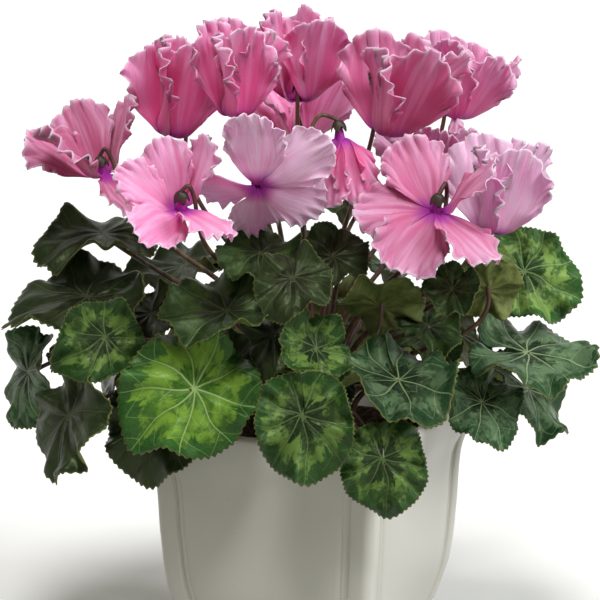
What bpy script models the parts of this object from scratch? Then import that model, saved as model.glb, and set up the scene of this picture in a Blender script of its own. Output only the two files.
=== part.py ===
"""A potted cyclamen: frilled blooms and marbled leaves that grow from one tuber, in a square glazed pot.

Sizes are in millimetres here and become metres where a mesh is made. +Z is up, and the origin is the middle
of the pot's underside. The pot's faces look along X and Y. Azimuths are degrees about +Z, counted from +X.
"""

import math
import random

import bmesh
import bpy
from mathutils import Matrix, Vector

MM = 0.001

# The pot, as (height, half width) up its outside and down its inside.
POT_HEIGHT = 150.0
POT_OUTSIDE = [
    (0, 50), (2, 53), (7, 54), (18, 60), (30, 64), (48, 68.4), (80, 71.2), (116, 73.2),
    (132, 77.2), (146, 80), (POT_HEIGHT, 79),
]
POT_INSIDE = [(POT_HEIGHT, 75), (124, 69.2), (104, 67), (48, 63.4), (10, 50)]
CORNER_RADIUS = 8.0
CORNER_STEPS = 3
STRIP = 14.0  # the raised strip on each side of a corner
GROOVE = 1.8
GROOVE_TOP = 129.0  # the grooves run out here, below the lip

# The compost and the tuber that sits half sunk in it.
FIT = 0.4  # clearance between pieces that rest against each other
SOIL_TOP = 137.0
SOIL_BOTTOM = 11.0
SOIL_RINGS = 3
SOIL_CRUMB = 1.8
TUBER_RADIUS = 34.0
TUBER_HALF_HEIGHT = 17.0
TUBER_MIDDLE = 131.0
CROWN_RADIUS = 26.0  # the stems stand inside this circle
STEM_DEPTH = 6.0
HOLE_ROOM = 0.5
GOLDEN_ANGLE = math.radians(137.508)

# Leaves.
BLADE_THICKNESS = 0.9
BLADE_RAYS = 12
BLADE_RINGS = (0.55, 1.0)
SINUS = 8.0  # half the angle of the notch at the stem
STEM_SEAT = 3.2
LEAF_STEM = (1.9, 1.4)  # stem radius at the tuber and at the blade
LEAF_STEM_PIECES = 4

# Blooms.
PETAL_THICKNESS = 0.8
PETAL_ROWS = (0, 0.15, 0.55, 1.0)
PETAL_COLUMNS = 3
THROAT_RADIUS = 3.2
THROAT_DEPTH = 8.0
BLOOM_STEM = (1.8, 1.2)
BLOOM_STEM_PIECES = 4


def polar(azimuth, reach, height):
    """A point from its azimuth in degrees, its distance from the pot's axis and its height."""
    a = math.radians(azimuth)
    return Vector((reach * math.cos(a), reach * math.sin(a), height))


def smooth(x, low=0.0, high=1.0):
    """0 below low, 1 above high and an even ramp between."""
    t = min(max((x - low) / (high - low), 0.0), 1.0)
    return t * t * (3 - 2 * t)


# ---------------------------------------------------------------- making objects

def clear_scene():
    for obj in list(bpy.data.objects):
        bpy.data.objects.remove(obj)


def material(name, colour, roughness):
    made = bpy.data.materials.new(name)
    made.use_nodes = True
    shader = made.node_tree.nodes["Principled BSDF"]
    shader.inputs["Base Color"].default_value = (*colour, 1)
    shader.inputs["Roughness"].default_value = roughness
    shader.inputs["Metallic"].default_value = 0
    made.diffuse_color = (*colour, 1)
    return made


def new_object(name, mesh, finish):
    obj = bpy.data.objects.new(name, mesh)
    mesh.materials.append(finish)
    plant.objects.link(obj)
    return obj


def mesh_object(name, points, faces, finish, smooth_below=50.0):
    """An object from points in millimetres and faces of point numbers."""
    mesh = bpy.data.meshes.new(name)
    mesh.from_pydata([Vector(p) * MM for p in points], [], faces)
    mesh.shade_smooth()
    mesh.set_sharp_from_angle(angle=math.radians(smooth_below))
    return new_object(name, mesh, finish)


def sheet_object(name, rows, thickness, finish):
    """A thin closed blade from a grid of points: each square is split alike on both faces."""
    columns = len(rows[0])
    points = [p for row in rows for p in row]
    faces = []
    for r in range(len(rows) - 1):
        for c in range(columns - 1):
            a, b = r * columns + c, r * columns + c + 1
            faces += [(a, b, b + columns), (a, b + columns, a + columns)]
    obj = mesh_object(name, points, faces, finish)
    mesh = bmesh.new()
    mesh.from_mesh(obj.data)
    bmesh.ops.remove_doubles(mesh, verts=mesh.verts, dist=1e-6)
    mesh.to_mesh(obj.data)
    mesh.free()
    solidify = obj.modifiers.new("thickness", "SOLIDIFY")
    solidify.thickness = thickness * MM
    solidify.offset = 0
    return obj


def stem_object(name, route, radii, finish):
    """A round stem along a route, from one radius to another, with closed ends, as a mesh."""
    curve = bpy.data.curves.new(name, "CURVE")
    curve.dimensions = "3D"
    curve.bevel_depth = MM
    curve.bevel_resolution = 1
    curve.use_fill_caps = True
    spline = curve.splines.new("POLY")
    spline.points.add(len(route) - 1)
    for i, (point, place) in enumerate(zip(spline.points, route)):
        point.co = (*(place * MM), 1)
        point.radius = radii[0] + (radii[1] - radii[0]) * i / (len(route) - 1)
    drawn = bpy.data.objects.new(name, curve)
    plant.objects.link(drawn)
    graph = bpy.context.evaluated_depsgraph_get()
    mesh = bpy.data.meshes.new_from_object(drawn.evaluated_get(graph))
    bpy.data.objects.remove(drawn)
    welded = bmesh.new()
    welded.from_mesh(mesh)
    bmesh.ops.remove_doubles(welded, verts=welded.verts, dist=1e-6)
    welded.to_mesh(mesh)
    welded.free()
    mesh.materials.clear()
    return new_object(name, mesh, finish)


def combine(target, others, operation):
    """One Boolean of the target with all the others, applied, with the others removed."""
    group = bpy.data.collections.new("group")
    bpy.context.scene.collection.children.link(group)
    for other in others:
        plant.objects.unlink(other)
        group.objects.link(other)
    boolean = target.modifiers.new("combine", "BOOLEAN")
    boolean.operation = operation
    boolean.operand_type = "COLLECTION"
    boolean.collection = group
    boolean.solver = "EXACT"
    graph = bpy.context.evaluated_depsgraph_get()
    mesh = bpy.data.meshes.new_from_object(target.evaluated_get(graph))
    target.modifiers.clear()
    target.data = mesh
    for other in others:
        bpy.data.objects.remove(other)
    bpy.data.collections.remove(group)
    return target


# ---------------------------------------------------------------- pot, compost and tuber

def square_outline(half, height, corner, groove=None):
    """A rounded square of points; beside each corner strip runs a groove, where one is given by its depth."""
    edge = [] if groove is None else [(STRIP, 0), (STRIP + 1.6, groove), (STRIP + 5.0, 0.35 * groove)]
    points = []
    for side in range(4):
        turn = Matrix.Rotation(math.radians(90 * side), 3, "Z")
        left = [(-half + along, -half + depth) for along, depth in edge]
        right = [(-x, y) for x, y in reversed(left)]
        middle = Vector((half - corner, -half + corner))
        arc = [
            middle + corner * Vector((math.sin(a), -math.cos(a)))
            for a in (math.radians(90 * i / CORNER_STEPS) for i in range(CORNER_STEPS + 1))
        ]
        points += [turn @ Vector((x, y, height)) for x, y in left + right + arc]
    return points


def loft(sections):
    """Points and faces of a closed solid through sections with equal numbers of points."""
    count = len(sections[0])
    points = [p for section in sections for p in section]
    faces = [tuple(reversed(range(count)))]
    for row in range(len(sections) - 1):
        for i in range(count):
            j = (i + 1) % count
            low, high = row * count, (row + 1) * count
            faces.append((low + i, low + j, high + j, high + i))
    faces.append(tuple(range((len(sections) - 1) * count, len(sections) * count)))
    return points, faces


def make_pot(finish):
    outside = [
        square_outline(half, height, CORNER_RADIUS, GROOVE * (1 - smooth(height, GROOVE_TOP - 9, GROOVE_TOP)))
        for height, half in POT_OUTSIDE
    ]
    inside = [square_outline(half, height, CORNER_RADIUS - 3, 0) for height, half in POT_INSIDE]
    return mesh_object("pot", *loft(outside + inside), finish, 35)


def pot_inner_half(height):
    """Half the width of the pot's inside at a height."""
    for (high, wide), (low, narrow) in zip(POT_INSIDE, POT_INSIDE[1:]):
        if low <= height <= high:
            return narrow + (wide - narrow) * (height - low) / (high - low)
    return POT_INSIDE[-1][1]


def make_soil(finish):
    """The compost: a plug that fills the pot, with a crumbly top, hollowed for the tuber."""
    rng = random.Random(7)
    heights = [SOIL_BOTTOM] + [height for height, _ in reversed(POT_INSIDE) if SOIL_BOTTOM < height < SOIL_TOP]
    sections = [
        square_outline(pot_inner_half(height) - FIT, height, CORNER_RADIUS - 3) for height in heights + [SOIL_TOP]
    ]
    edge = sections[-1]
    for ring in range(1, SOIL_RINGS):
        share = 1 - ring / SOIL_RINGS
        sections.append([
            Vector((p.x * share, p.y * share, p.z + SOIL_CRUMB * rng.uniform(-1, 1))) for p in edge
        ])
    soil = mesh_object("soil", *loft(sections), finish)
    return combine(soil, [tuber_shape("hollow", FIT, finish)], "DIFFERENCE")


def tuber_shape(name, grown, finish):
    mesh = bpy.data.meshes.new(name)
    form = bmesh.new()
    bmesh.ops.create_uvsphere(form, u_segments=10, v_segments=7, radius=1)
    wide, tall = TUBER_RADIUS + grown, TUBER_HALF_HEIGHT + grown
    bmesh.ops.scale(form, vec=(wide, wide, tall), verts=form.verts)
    bmesh.ops.translate(form, vec=(0, 0, TUBER_MIDDLE), verts=form.verts)
    bmesh.ops.scale(form, vec=(MM, MM, MM), verts=form.verts)
    form.to_mesh(mesh)
    form.free()
    mesh.shade_smooth()
    return new_object(name, mesh, finish)


def crown_sites(count):
    """Where the stems stand on the tuber: a sunflower spiral, from the middle out."""
    sites = []
    for i in range(count):
        reach = CROWN_RADIUS * math.sqrt((i + 0.5) / count)
        turn = i * GOLDEN_ANGLE
        drop = math.sqrt(1 - (reach / TUBER_RADIUS) ** 2)
        top = TUBER_MIDDLE + TUBER_HALF_HEIGHT * drop
        sites.append(Vector((reach * math.cos(turn), reach * math.sin(turn), top)))
    return sites


def take_site(sites, azimuth):
    """Takes the free site that lies furthest out towards an azimuth."""
    away = polar(azimuth, 1, 0)
    site = max(sites, key=lambda s: s.x * away.x + s.y * away.y)
    sites.remove(site)
    return site


def make_tuber(stems, finish):
    """The tuber, with a plain hole for each stem."""
    tuber = tuber_shape("tuber", 0, finish)
    holes = []
    for site, radius in stems:
        mesh = bpy.data.meshes.new("hole")
        form = bmesh.new()
        wide = (radius + HOLE_ROOM) * MM
        bmesh.ops.create_cone(form, cap_ends=True, segments=6, radius1=wide, radius2=wide, depth=30 * MM)
        bmesh.ops.translate(form, vec=(site + Vector((0, 0, 15 - STEM_DEPTH - FIT))) * MM, verts=form.verts)
        form.to_mesh(mesh)
        form.free()
        holes.append(new_object("hole", mesh, finish))
    return combine(tuber, holes, "DIFFERENCE")


# ---------------------------------------------------------------- leaves

def bezier(a, b, c, d, pieces):
    """Points of a cubic curve from a to d, with the handles b and c."""
    points = []
    for i in range(pieces + 1):
        t = i / pieces
        u = 1 - t
        points.append(a * u**3 + b * (3 * u * u * t) + c * (3 * u * t * t) + d * t**3)
    return points


class Leaf:
    """One leaf: where its blade joins its stem, how the blade lies, and how it is waved."""

    def __init__(self, number, azimuth, reach, height, heading, droop, roll, length, cup, bow):
        self.name = f"leaf_{number:02d}"
        self.azimuth = azimuth
        self.length = length
        self.cup = cup
        self.bow = bow
        self.joint = polar(azimuth, reach, height)
        turn = Matrix.Rotation(math.radians(heading), 3, "Z")
        tilt = Matrix.Rotation(math.radians(droop), 3, "Y")
        bank = Matrix.Rotation(math.radians(roll), 3, "X")
        self.lie = turn @ tilt @ bank
        rng = random.Random(number)
        self.waves = rng.choice((3, 4, 5))
        self.phase = rng.uniform(0, math.tau)
        self.wave_height = rng.uniform(0.045, 0.07)
        self.fold = rng.uniform(0.02, 0.14)

    def margin(self, angle):
        """Distance from the joint to the blade's edge, angle in radians from the tip."""
        away = abs(angle)
        heart = 0.465 + 0.075 * math.cos(away) + 0.015 * math.cos(2 * away)
        lobe = 0.055 * math.exp(-(((away - math.radians(140)) / 0.55) ** 2))
        point = 0.05 * math.exp(-((away / 0.2) ** 2))
        return self.length * (heart + lobe + point)

    def blade(self, angle, t):
        """A point of the blade, t from 0 at the joint to 1 at the edge."""
        out = self.margin(angle) * t
        x, y = out * math.cos(angle), out * math.sin(angle)
        size = self.length
        lift = self.fold * abs(y) - 0.55 * max(x, 0) ** 2 / size - 0.25 * y * y / size
        lift += self.cup * 1.6 * out * out / size
        lift += self.wave_height * size * t**3 * math.sin(self.waves * angle + self.phase)
        return self.joint + self.lie @ Vector((x, y, lift))

    def arrival(self):
        """The way the stem points where it meets the blade."""
        return (self.lie @ Vector((0.75, 0, 0.66))).normalized()

    def seat(self):
        """Where the stem runs into the blade, just ahead of the notch."""
        return self.blade(0, STEM_SEAT / self.margin(0))

    def route(self, site):
        """The stem's route from the tuber to just through the blade."""
        start = Vector((site.x, site.y, site.z - STEM_DEPTH))
        end = self.seat() + self.arrival() * 0.3
        span = (end - start).length
        side = Vector((-math.sin(math.radians(self.azimuth)), math.cos(math.radians(self.azimuth)), 0))
        rise = start + Vector((0, 0, 0.42 * span)) + side * self.bow
        reach = end - self.arrival() * 0.36 * span + side * self.bow
        return [start, start + Vector((0, 0, STEM_DEPTH + 3))] + bezier(
            start + Vector((0, 0, STEM_DEPTH + 3)), rise, reach, end, LEAF_STEM_PIECES - 1
        )[1:]


def make_leaf(leaf, site, finish):
    """A heart-shaped blade with a cut and waved edge, fused to its stem."""
    notch = math.pi - math.radians(SINUS)
    rows = []
    for t in (0.0,) + BLADE_RINGS:
        row = []
        for i in range(BLADE_RAYS + 1):
            angle = -notch + 2 * notch * i / BLADE_RAYS
            cut = 1 + 0.03 * (-1) ** i * t
            row.append(leaf.blade(angle, t * cut))
        rows.append(row)
    blade = sheet_object(leaf.name, rows, BLADE_THICKNESS, finish)
    stem = stem_object("stem", leaf.route(site), LEAF_STEM, finish)
    return combine(blade, [stem], "UNION")


# ---------------------------------------------------------------- blooms

class Bloom:
    """One bloom: the middle of its mouth, the way its petals sweep back, and each petal's flare."""

    def __init__(self, letter, azimuth, reach, height, lean, tilt, gap, size, flares, hook, bow):
        self.letter = letter
        self.azimuth = azimuth
        self.size = size
        self.flares = flares
        self.hook = hook
        self.bow = bow
        self.mouth = polar(azimuth, reach, height)
        lean, tilt = math.radians(lean), math.radians(tilt)
        self.axis = Vector((math.cos(lean) * math.sin(tilt), math.sin(lean) * math.sin(tilt), math.cos(tilt)))
        towards = polar(gap, 1, 0)
        self.gap = (towards - self.axis * towards.dot(self.axis)).normalized()
        self.side = self.axis.cross(self.gap)
        rng = random.Random(letter)
        self.phases = [rng.uniform(0, math.tau) for _ in flares]
        self.twist = math.radians(46 - 0.4 * sum(flares) / len(flares))
        self.widths = [size * rng.uniform(0.56, 0.70) for _ in flares]
        self.lengths = [size * rng.uniform(0.94, 1.10) for _ in flares]

    def place(self, out, along, turn=0.0):
        """A point from its distance out from the axis, its place along it and its turn from the gap."""
        radial = self.gap * math.cos(turn) + self.side * math.sin(turn)
        return self.mouth + radial * out + self.axis * along

    def petal(self, k, s, v):
        """A point of petal k: s from 0 at the mouth to 1 at the tip, v from -1 to 1 across."""
        turn = math.radians(56 + 62 * k)
        radial = self.gap * math.cos(turn) + self.side * math.sin(turn)
        across = self.side * math.cos(turn) - self.gap * math.sin(turn)
        length = self.lengths[k]
        s = s * (1 - 0.2 * v * v * s)
        out, along, bend, steps = 0.5 * THROAT_RADIUS, 0.0, 0.0, 24
        for i in range(steps):
            u = s * (i + 0.5) / steps
            start, flare = math.radians(112), math.radians(self.flares[k])
            bend = start + (flare - start) * smooth(u, 0.0, 0.2) + math.radians(8) * smooth(u, 0.35, 1.0)
            out += math.sin(bend) * length * s / steps
            along += math.cos(bend) * length * s / steps
        normal = radial * math.cos(bend) - self.axis * math.sin(bend)
        spread = 0.5 * self.widths[k] * (0.06 + 0.94 * smooth(s, 0.0, 0.74)) * (1 - 0.3 * smooth(s, 0.75, 1.15))
        twist = self.twist * smooth(s, 0.0, 0.4)
        lateral = across * math.cos(twist) + normal * math.sin(twist)
        face = normal * math.cos(twist) - across * math.sin(twist)
        hollow = -0.2 * spread * v * v * (1 - 1.4 * smooth(s, 0.3, 1.0))
        frill = 0.05 * length * s * abs(v) ** 1.5 * math.sin(4 * math.pi * s + self.phases[k])
        pleat = 0.04 * length * s**2 * math.sin(4.5 * v + self.phases[k])
        return self.place(out, along, turn) + lateral * (spread * v) + face * (hollow + frill + pleat)

    def route(self, site):
        """The stem's route: up from the tuber, past the mouth between two petals, over and into the calyx.

        Where hook is 0 it comes straight from behind.
        """
        start = Vector((site.x, site.y, site.z - STEM_DEPTH))
        lift = start + Vector((0, 0, STEM_DEPTH + 3))
        apex = self.place(0, THROAT_DEPTH + 3)
        if self.hook:
            hook = [self.place(self.hook, -8), self.place(0.85 * self.hook, 6), self.place(0.5 * self.hook, 15)]
        else:
            hook = [self.place(1.5, 30), self.place(0.3, 18)]
        entry = hook[0]
        heading = (hook[1] - hook[0]).normalized()
        span = (entry - lift).length
        side = Vector((-math.sin(math.radians(self.azimuth)), math.cos(math.radians(self.azimuth)), 0))
        rise = lift + Vector((0, 0, 0.5 * span)) + side * self.bow
        reach = entry - heading * 0.3 * span + side * self.bow
        return [start] + bezier(lift, rise, reach, entry, BLOOM_STEM_PIECES) + hook[1:] + [apex]


def make_corolla(bloom, finish):
    """Five petals swept back from the rim of a short throat."""
    petals = []
    for k in range(len(bloom.flares)):
        rows = [
            [bloom.petal(k, s, 2 * c / PETAL_COLUMNS - 1) for c in range(PETAL_COLUMNS + 1)]
            for s in PETAL_ROWS
        ]
        petals.append(sheet_object("petal", rows, PETAL_THICKNESS, finish))
    sections = []
    for out, along in ((1.3, THROAT_DEPTH), (THROAT_RADIUS, -0.8)):
        sections.append([bloom.place(out, along, -math.tau * i / 6) for i in range(6)])
    throat = mesh_object(f"bloom_{bloom.letter}", *loft(sections), finish)
    return combine(throat, petals, "UNION")


def make_bloom_stem(bloom, site, finish):
    """The stem and its calyx: a shallow five-lobed cap over the throat."""
    outer, inner = [], []
    for i in range(10):
        out, along = ((5.0, THROAT_DEPTH - 3.2), (4.2, THROAT_DEPTH - 0.2))[i % 2]
        turn = -math.tau * (i + 1) / 10
        outer.append(bloom.place(out, along, turn))
        inner.append(bloom.place(out - 1.0, along + 0.2, turn))
    points = [bloom.place(0, THROAT_DEPTH + 4)] + outer + inner + [bloom.place(0, THROAT_DEPTH + 2)]
    faces = []
    for i in range(10):
        j = (i + 1) % 10
        faces += [(0, 1 + i, 1 + j), (1 + i, 11 + i, 11 + j, 1 + j), (11 + i, 21, 11 + j)]
    calyx = mesh_object(f"stem_{bloom.letter}", points, faces, finish)
    stem = stem_object("stem", bloom.route(site), BLOOM_STEM, finish)
    return combine(calyx, [stem], "UNION")


# ---------------------------------------------------------------- how the plant is laid out

# azimuth, reach and height of the joint, then heading, droop, roll, length, cup, bow
LEAVES = [
    (-160, 127, 259, -152, 0, -14, 76, 0.0, 0),
    (-147, 138, 226, -145, 5, -20, 86, 0.0, -8),
    (-128, 138, 208, -130, 15, -60, 55, 0.1, 0),
    (-151, 174, 177, -142, 70, -18, 64, 0.0, 0),
    (-131, 157, 162, -140, 64, -20, 72, 0.0, -18),
    (-123, 112, 158, -80, 65, -5, 64, 0.0, 5),
    (-104, 110, 185, -130, 35, -50, 86, 0.0, 0),
    (-99, 89, 229, -145, 5, -25, 68, 0.3, 0),
    (-95, 59, 258, -110, 10, -20, 53, 0.1, -8),
    (-72, 87, 250, -75, 35, 0, 50, 0.0, 0),
    (-64, 95, 209, -115, -5, -55, 48, 0.35, 0),
    (-67, 126, 177, -65, 70, 5, 64, 0.1, 0),
    (-80, 79, 216, -95, 55, 20, 50, 0.0, 0),
    (-36, 102, 191, -52, 15, 0, 76, 0.2, 0),
    (-46, 127, 150, -45, 75, 15, 56, 0.0, -6),
    (3, 110, 166, -20, 45, 15, 54, 0.1, 1),
    (25, 133, 164, 5, 42, 5, 68, 0.0, 0),
    (13, 132, 192, 15, 5, 18, 80, 0.1, 0),
    (25, 130, 236, 20, 20, 62, 66, 0.0, 0),
    (7, 111, 232, -80, -70, 25, 46, 0.0, 5),
    (-17, 111, 242, -100, 35, -15, 36, 0.2, 0),
    (-30, 72, 228, -65, -50, 0, 59, 0.0, 0),
    (-52, 52, 256, -90, 35, -10, 50, 0.0, 0),
    (176, 93, 231, -170, 0, -15, 70, 0.0, 0),
    (58, 112, 186, 58, 50, 0, 84, 0.0, 0),
    (98, 114, 176, 98, 55, 0, 84, 0.0, 0),
    (128, 116, 194, 128, 45, 0, 84, 0.0, 0),
    (168, 120, 176, 168, 55, 0, 82, 0.0, 0),
    (74, 84, 225, 70, 14, 0, 76, 0.0, 0),
    (132, 80, 232, 135, 14, 0, 79, 0.0, 0),
    (88, 66, 266, 86, 14, 0, 63, 0.1, 0),
]

# azimuth, reach and height of the mouth, the axis's lean and tilt, the gap's azimuth, size, flares,
# how far from the axis the stem passes the mouth, bow
BLOOMS = [
    ("a", -156, 127, 297, -135, 10, 20, 56, (30, 34, 44, 40, 112), 9, 3),
    ("b", -178, 93, 316, 20, 8, 15, 64, (6, 5, 9, 6, 10), 9, 0),
    ("c", -137, 47, 336, -65, 5, 80, 60, (9, 4, 8, 7, 9), 9, 0),
    ("d", 126, 37, 338, -65, 5, -75, 60, (10, 8, 7, 10, 8), 9, 0),
    ("e", 15, 46, 324, -20, 10, -150, 66, (12, 20, 26, 16, 12), 9, 0),
    ("f", 58, 109, 324, 25, 5, -140, 56, (16, 28, 34, 22, 12), 9, 0),
    ("g", 14, 111, 266, 0, 8, -155, 66, (14, 8, 9, 9, 14), 9, 0),
    ("h", 47, 77, 291, 140, 5, 130, 44, (34, 36, 36, 36, 34), 9, 0),
    ("i", -88, 80, 302, 115, 58, -109, 46, (70, 74, 78, 68, 60), 0, 0),
    ("j", -110, 107, 290, -65, 25, 25, 44, (26, 30, 45, 74, 78), 9, -5),
    ("k", -18, 99, 287, -50, 25, 90, 49, (56, 95, 105, 88, 30), 14, 0),
    ("l", -43, 44, 325, -155, 5, -150, 39, (158, 160, 156, 160, 156), 20, 0),
    ("m", 120, 85, 305, 120, 15, -60, 56, (28, 26, 34, 28, 32), 9, 0),
]

clear_scene()
plant = bpy.data.collections.new("potted_cyclamen")
bpy.context.scene.collection.children.link(plant)

glaze = material("glaze", (0.72, 0.71, 0.66), 0.35)
compost = material("compost", (0.06, 0.04, 0.03), 0.95)
cork = material("cork", (0.20, 0.13, 0.09), 0.9)
leaf_green = material("leaf_green", (0.05, 0.15, 0.05), 0.45)
petal_pink = material("petal_pink", (0.80, 0.25, 0.42), 0.5)
stem_brown = material("stem_brown", (0.20, 0.06, 0.05), 0.5)

leaves = [Leaf(number, *row) for number, row in enumerate(LEAVES, 1)]
blooms = [Bloom(*row) for row in BLOOMS]

sites = crown_sites(len(leaves) + len(blooms))
standing = []
for leaf in sorted(leaves, key=lambda each: -each.joint.xy.length):
    leaf.site = take_site(sites, leaf.azimuth)
    standing.append((leaf.site, LEAF_STEM[0]))
for bloom in sorted(blooms, key=lambda each: -each.mouth.xy.length):
    bloom.site = take_site(sites, bloom.azimuth)
    standing.append((bloom.site, BLOOM_STEM[0]))

make_pot(glaze)
make_soil(compost)
make_tuber(standing, cork)
for leaf in leaves:
    make_leaf(leaf, leaf.site, leaf_green)
for bloom in blooms:
    make_corolla(bloom, petal_pink)
    make_bloom_stem(bloom, bloom.site, stem_brown)
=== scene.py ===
import math
import random

import bmesh
import bpy
from mathutils import Matrix, Vector


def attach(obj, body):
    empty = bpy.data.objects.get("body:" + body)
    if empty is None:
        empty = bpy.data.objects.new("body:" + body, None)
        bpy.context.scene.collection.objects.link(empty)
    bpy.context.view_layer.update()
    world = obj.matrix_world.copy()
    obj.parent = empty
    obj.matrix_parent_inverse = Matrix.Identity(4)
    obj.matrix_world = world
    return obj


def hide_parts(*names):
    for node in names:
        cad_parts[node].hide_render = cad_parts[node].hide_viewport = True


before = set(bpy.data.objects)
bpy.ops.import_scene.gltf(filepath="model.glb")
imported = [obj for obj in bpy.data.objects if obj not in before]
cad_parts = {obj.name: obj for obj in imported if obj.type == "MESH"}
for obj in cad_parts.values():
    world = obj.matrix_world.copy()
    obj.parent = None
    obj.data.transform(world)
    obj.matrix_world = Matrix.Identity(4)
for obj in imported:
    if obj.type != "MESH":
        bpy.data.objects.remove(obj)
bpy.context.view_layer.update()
MM = 0.001


# ================================================================ studio
# A plain pale floor that curves up into a wall far behind. Two large soft lamps light it, one overhead and a
# little in front, one at the front right, and even warm air fills the rest. The camera stands a little above.

FLOOR_REACH = 6000.0
WALL_START = 2600.0
WALL_CURVE = 1500.0
WALL_HEIGHT = 7000.0
VIEW_AZIMUTH = math.radians(25)
VIEW_RIGHT = Vector((math.cos(VIEW_AZIMUTH), math.sin(VIEW_AZIMUTH), 0))
VIEW_TOWARDS = Vector((math.sin(VIEW_AZIMUTH), -math.cos(VIEW_AZIMUTH), 0))
CAMERA_RISE = math.radians(12)
CAMERA_DISTANCE = 1.6
CAMERA_FIELD = math.radians(13.13)
SENSOR_WIDTH = 36.0


def finish(name, colour, roughness, **extra):
    """A material with a plain Principled BSDF, ready for its pattern."""
    made = bpy.data.materials.new(name)
    made.use_nodes = True
    shader = made.node_tree.nodes["Principled BSDF"]
    shader.inputs["Base Color"].default_value = (*colour, 1)
    shader.inputs["Roughness"].default_value = roughness
    for socket, value in extra.items():
        shader.inputs[socket.replace("_", " ")].default_value = value
    return made, made.node_tree, shader


def set_up(name, data):
    """An object made from its mesh, curve, light or camera, in the scene."""
    made = bpy.data.objects.new(name, data)
    bpy.context.scene.collection.objects.link(made)
    return made


def quads(first, rows, across, closed=True, flipped=False):
    """Four-sided faces between rows of points, numbered from first, with across of them to a row."""
    faces = []
    for row in range(rows - 1):
        a, b = first + row * across, first + (row + 1) * across
        for i in range(across if closed else across - 1):
            j = (i + 1) % across
            faces.append((a + i, b + i, b + j, a + j) if flipped else (a + i, a + j, b + j, b + i))
    return faces


def add_mesh(name, points, faces, finishes, smooth_below=180.0):
    """An object from points in millimetres; edges sharper than smooth_below stay crisp."""
    mesh = bpy.data.meshes.new(name)
    mesh.from_pydata([Vector(p) * MM for p in points], [], faces)
    for each in finishes:
        mesh.materials.append(each)
    mesh.shade_smooth()
    if smooth_below < 180:
        mesh.set_sharp_from_angle(angle=math.radians(smooth_below))
    return set_up(name, mesh)


sweep = []
for i in range(25):
    bend = math.radians(90 * max(0.0, i - 4) / 20)
    if i < 5:
        back, up = -FLOOR_REACH + (FLOOR_REACH + WALL_START) * i / 4, 0.0
    else:
        back, up = WALL_START + WALL_CURVE * math.sin(bend), WALL_CURVE * (1 - math.cos(bend))
    sweep.append((back, up))
sweep.append((WALL_START + WALL_CURVE, WALL_HEIGHT))
points = [
    -VIEW_TOWARDS * back + VIEW_RIGHT * side + Vector((0, 0, up))
    for back, up in sweep for side in (-FLOOR_REACH, FLOOR_REACH)
]
floor_paint, tree, shader = finish("floor_paint", (0.97, 0.97, 0.97), 0.8)
floor = add_mesh("studio_floor", points, quads(0, len(sweep), 2, closed=False), [floor_paint])
floor.visible_diffuse = False

world = bpy.data.worlds.new("studio_air")
world.use_nodes = True
world.node_tree.nodes["Background"].inputs["Color"].default_value = (1.0, 0.98, 0.88, 1)
world.node_tree.nodes["Background"].inputs["Strength"].default_value = 0.33
bpy.context.scene.world = world
bpy.context.scene.view_settings.view_transform = "Standard"


def studio_light(name, right, towards, up, strength, softness, colour):
    """A large soft light far away in the given direction, as the camera sees it; softness in degrees."""
    light = bpy.data.lights.new(name, "SUN")
    light.energy = strength
    light.angle = math.radians(softness)
    light.color = colour
    shining = -(VIEW_RIGHT * right + VIEW_TOWARDS * towards + Vector((0, 0, up)))
    set_up(name, light).rotation_euler = shining.to_track_quat("-Z", "Y").to_euler()


studio_light("ceiling_light", -0.05, 0.50, 1.0, 1.8, 18, (1.0, 1.0, 0.99))
studio_light("key_light", 0.80, 0.40, 0.60, 2.1, 40, (0.96, 0.98, 1.0))

eye = bpy.data.cameras.new("camera")
eye.sensor_width = SENSOR_WIDTH
eye.lens = 0.5 * SENSOR_WIDTH / math.tan(CAMERA_FIELD / 2)
camera = set_up("camera", eye)
aim = VIEW_RIGHT * -0.007 + Vector((0, 0, 0.219))
back = VIEW_TOWARDS * math.cos(CAMERA_RISE) + Vector((0, 0, math.sin(CAMERA_RISE)))
camera.location = aim + back * CAMERA_DISTANCE
camera.rotation_euler = (-back).to_track_quat("-Z", "Y").to_euler()
bpy.context.scene.camera = camera


# ================================================================ pot
# A square planter, slip-cast in white stoneware and dipped in a warm white glaze. Its walls curve in to a
# narrow foot, a flat strip runs up both sides of each corner behind a groove, and the lip flares and rolls.

# height and half width of the wall, outside and inside
POT_OUTSIDE = [
    (0, 50), (2, 53), (7, 54), (18, 60), (30, 64), (48, 68.4), (80, 71.2), (116, 73.2), (132, 77.2),
    (146, 80), (150, 79),
]
POT_INSIDE = [(150, 75), (124, 69.2), (104, 67), (48, 63.4), (10, 50)]
LIP = [(148.6, 79.6), (149.5, 78.9), (150, 78), (150, 76.6), (149.4, 75.5), (148, 74.8)]
CORNER_RADIUS = 6.0
CORNER_STEPS = 10
STRIP = 14.0
GROOVE = 2.1
GROOVE_TOP = 129.0
# distance past the strip's edge and share of the groove's depth: a deep line, then a shallow one
GROOVE_FORM = [
    (0.0, 0.0), (0.5, 0.10), (1.0, 0.55), (1.5, 0.92), (1.9, 1.0), (2.5, 0.86), (3.3, 0.5), (4.4, 0.36),
    (5.4, 0.34), (6.0, 0.52), (6.6, 0.36), (7.6, 0.14), (9.5, 0.0),
]


def node(tree, kind, inputs=(), **settings):
    """A shader node with its settings, and its inputs set by value or linked from a socket."""
    made = tree.nodes.new(kind)
    for name, value in settings.items():
        setattr(made, name, value)
    for name, value in dict(inputs).items():
        if isinstance(value, bpy.types.NodeSocket):
            tree.links.new(value, made.inputs[name])
        else:
            made.inputs[name].default_value = value
    return made


def wire(tree, target, **sockets):
    """Links values that change over the surface to the inputs of a shader or of a group's output."""
    for label, value in sockets.items():
        tree.links.new(value, target.inputs[label.replace("_", " ")])


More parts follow.
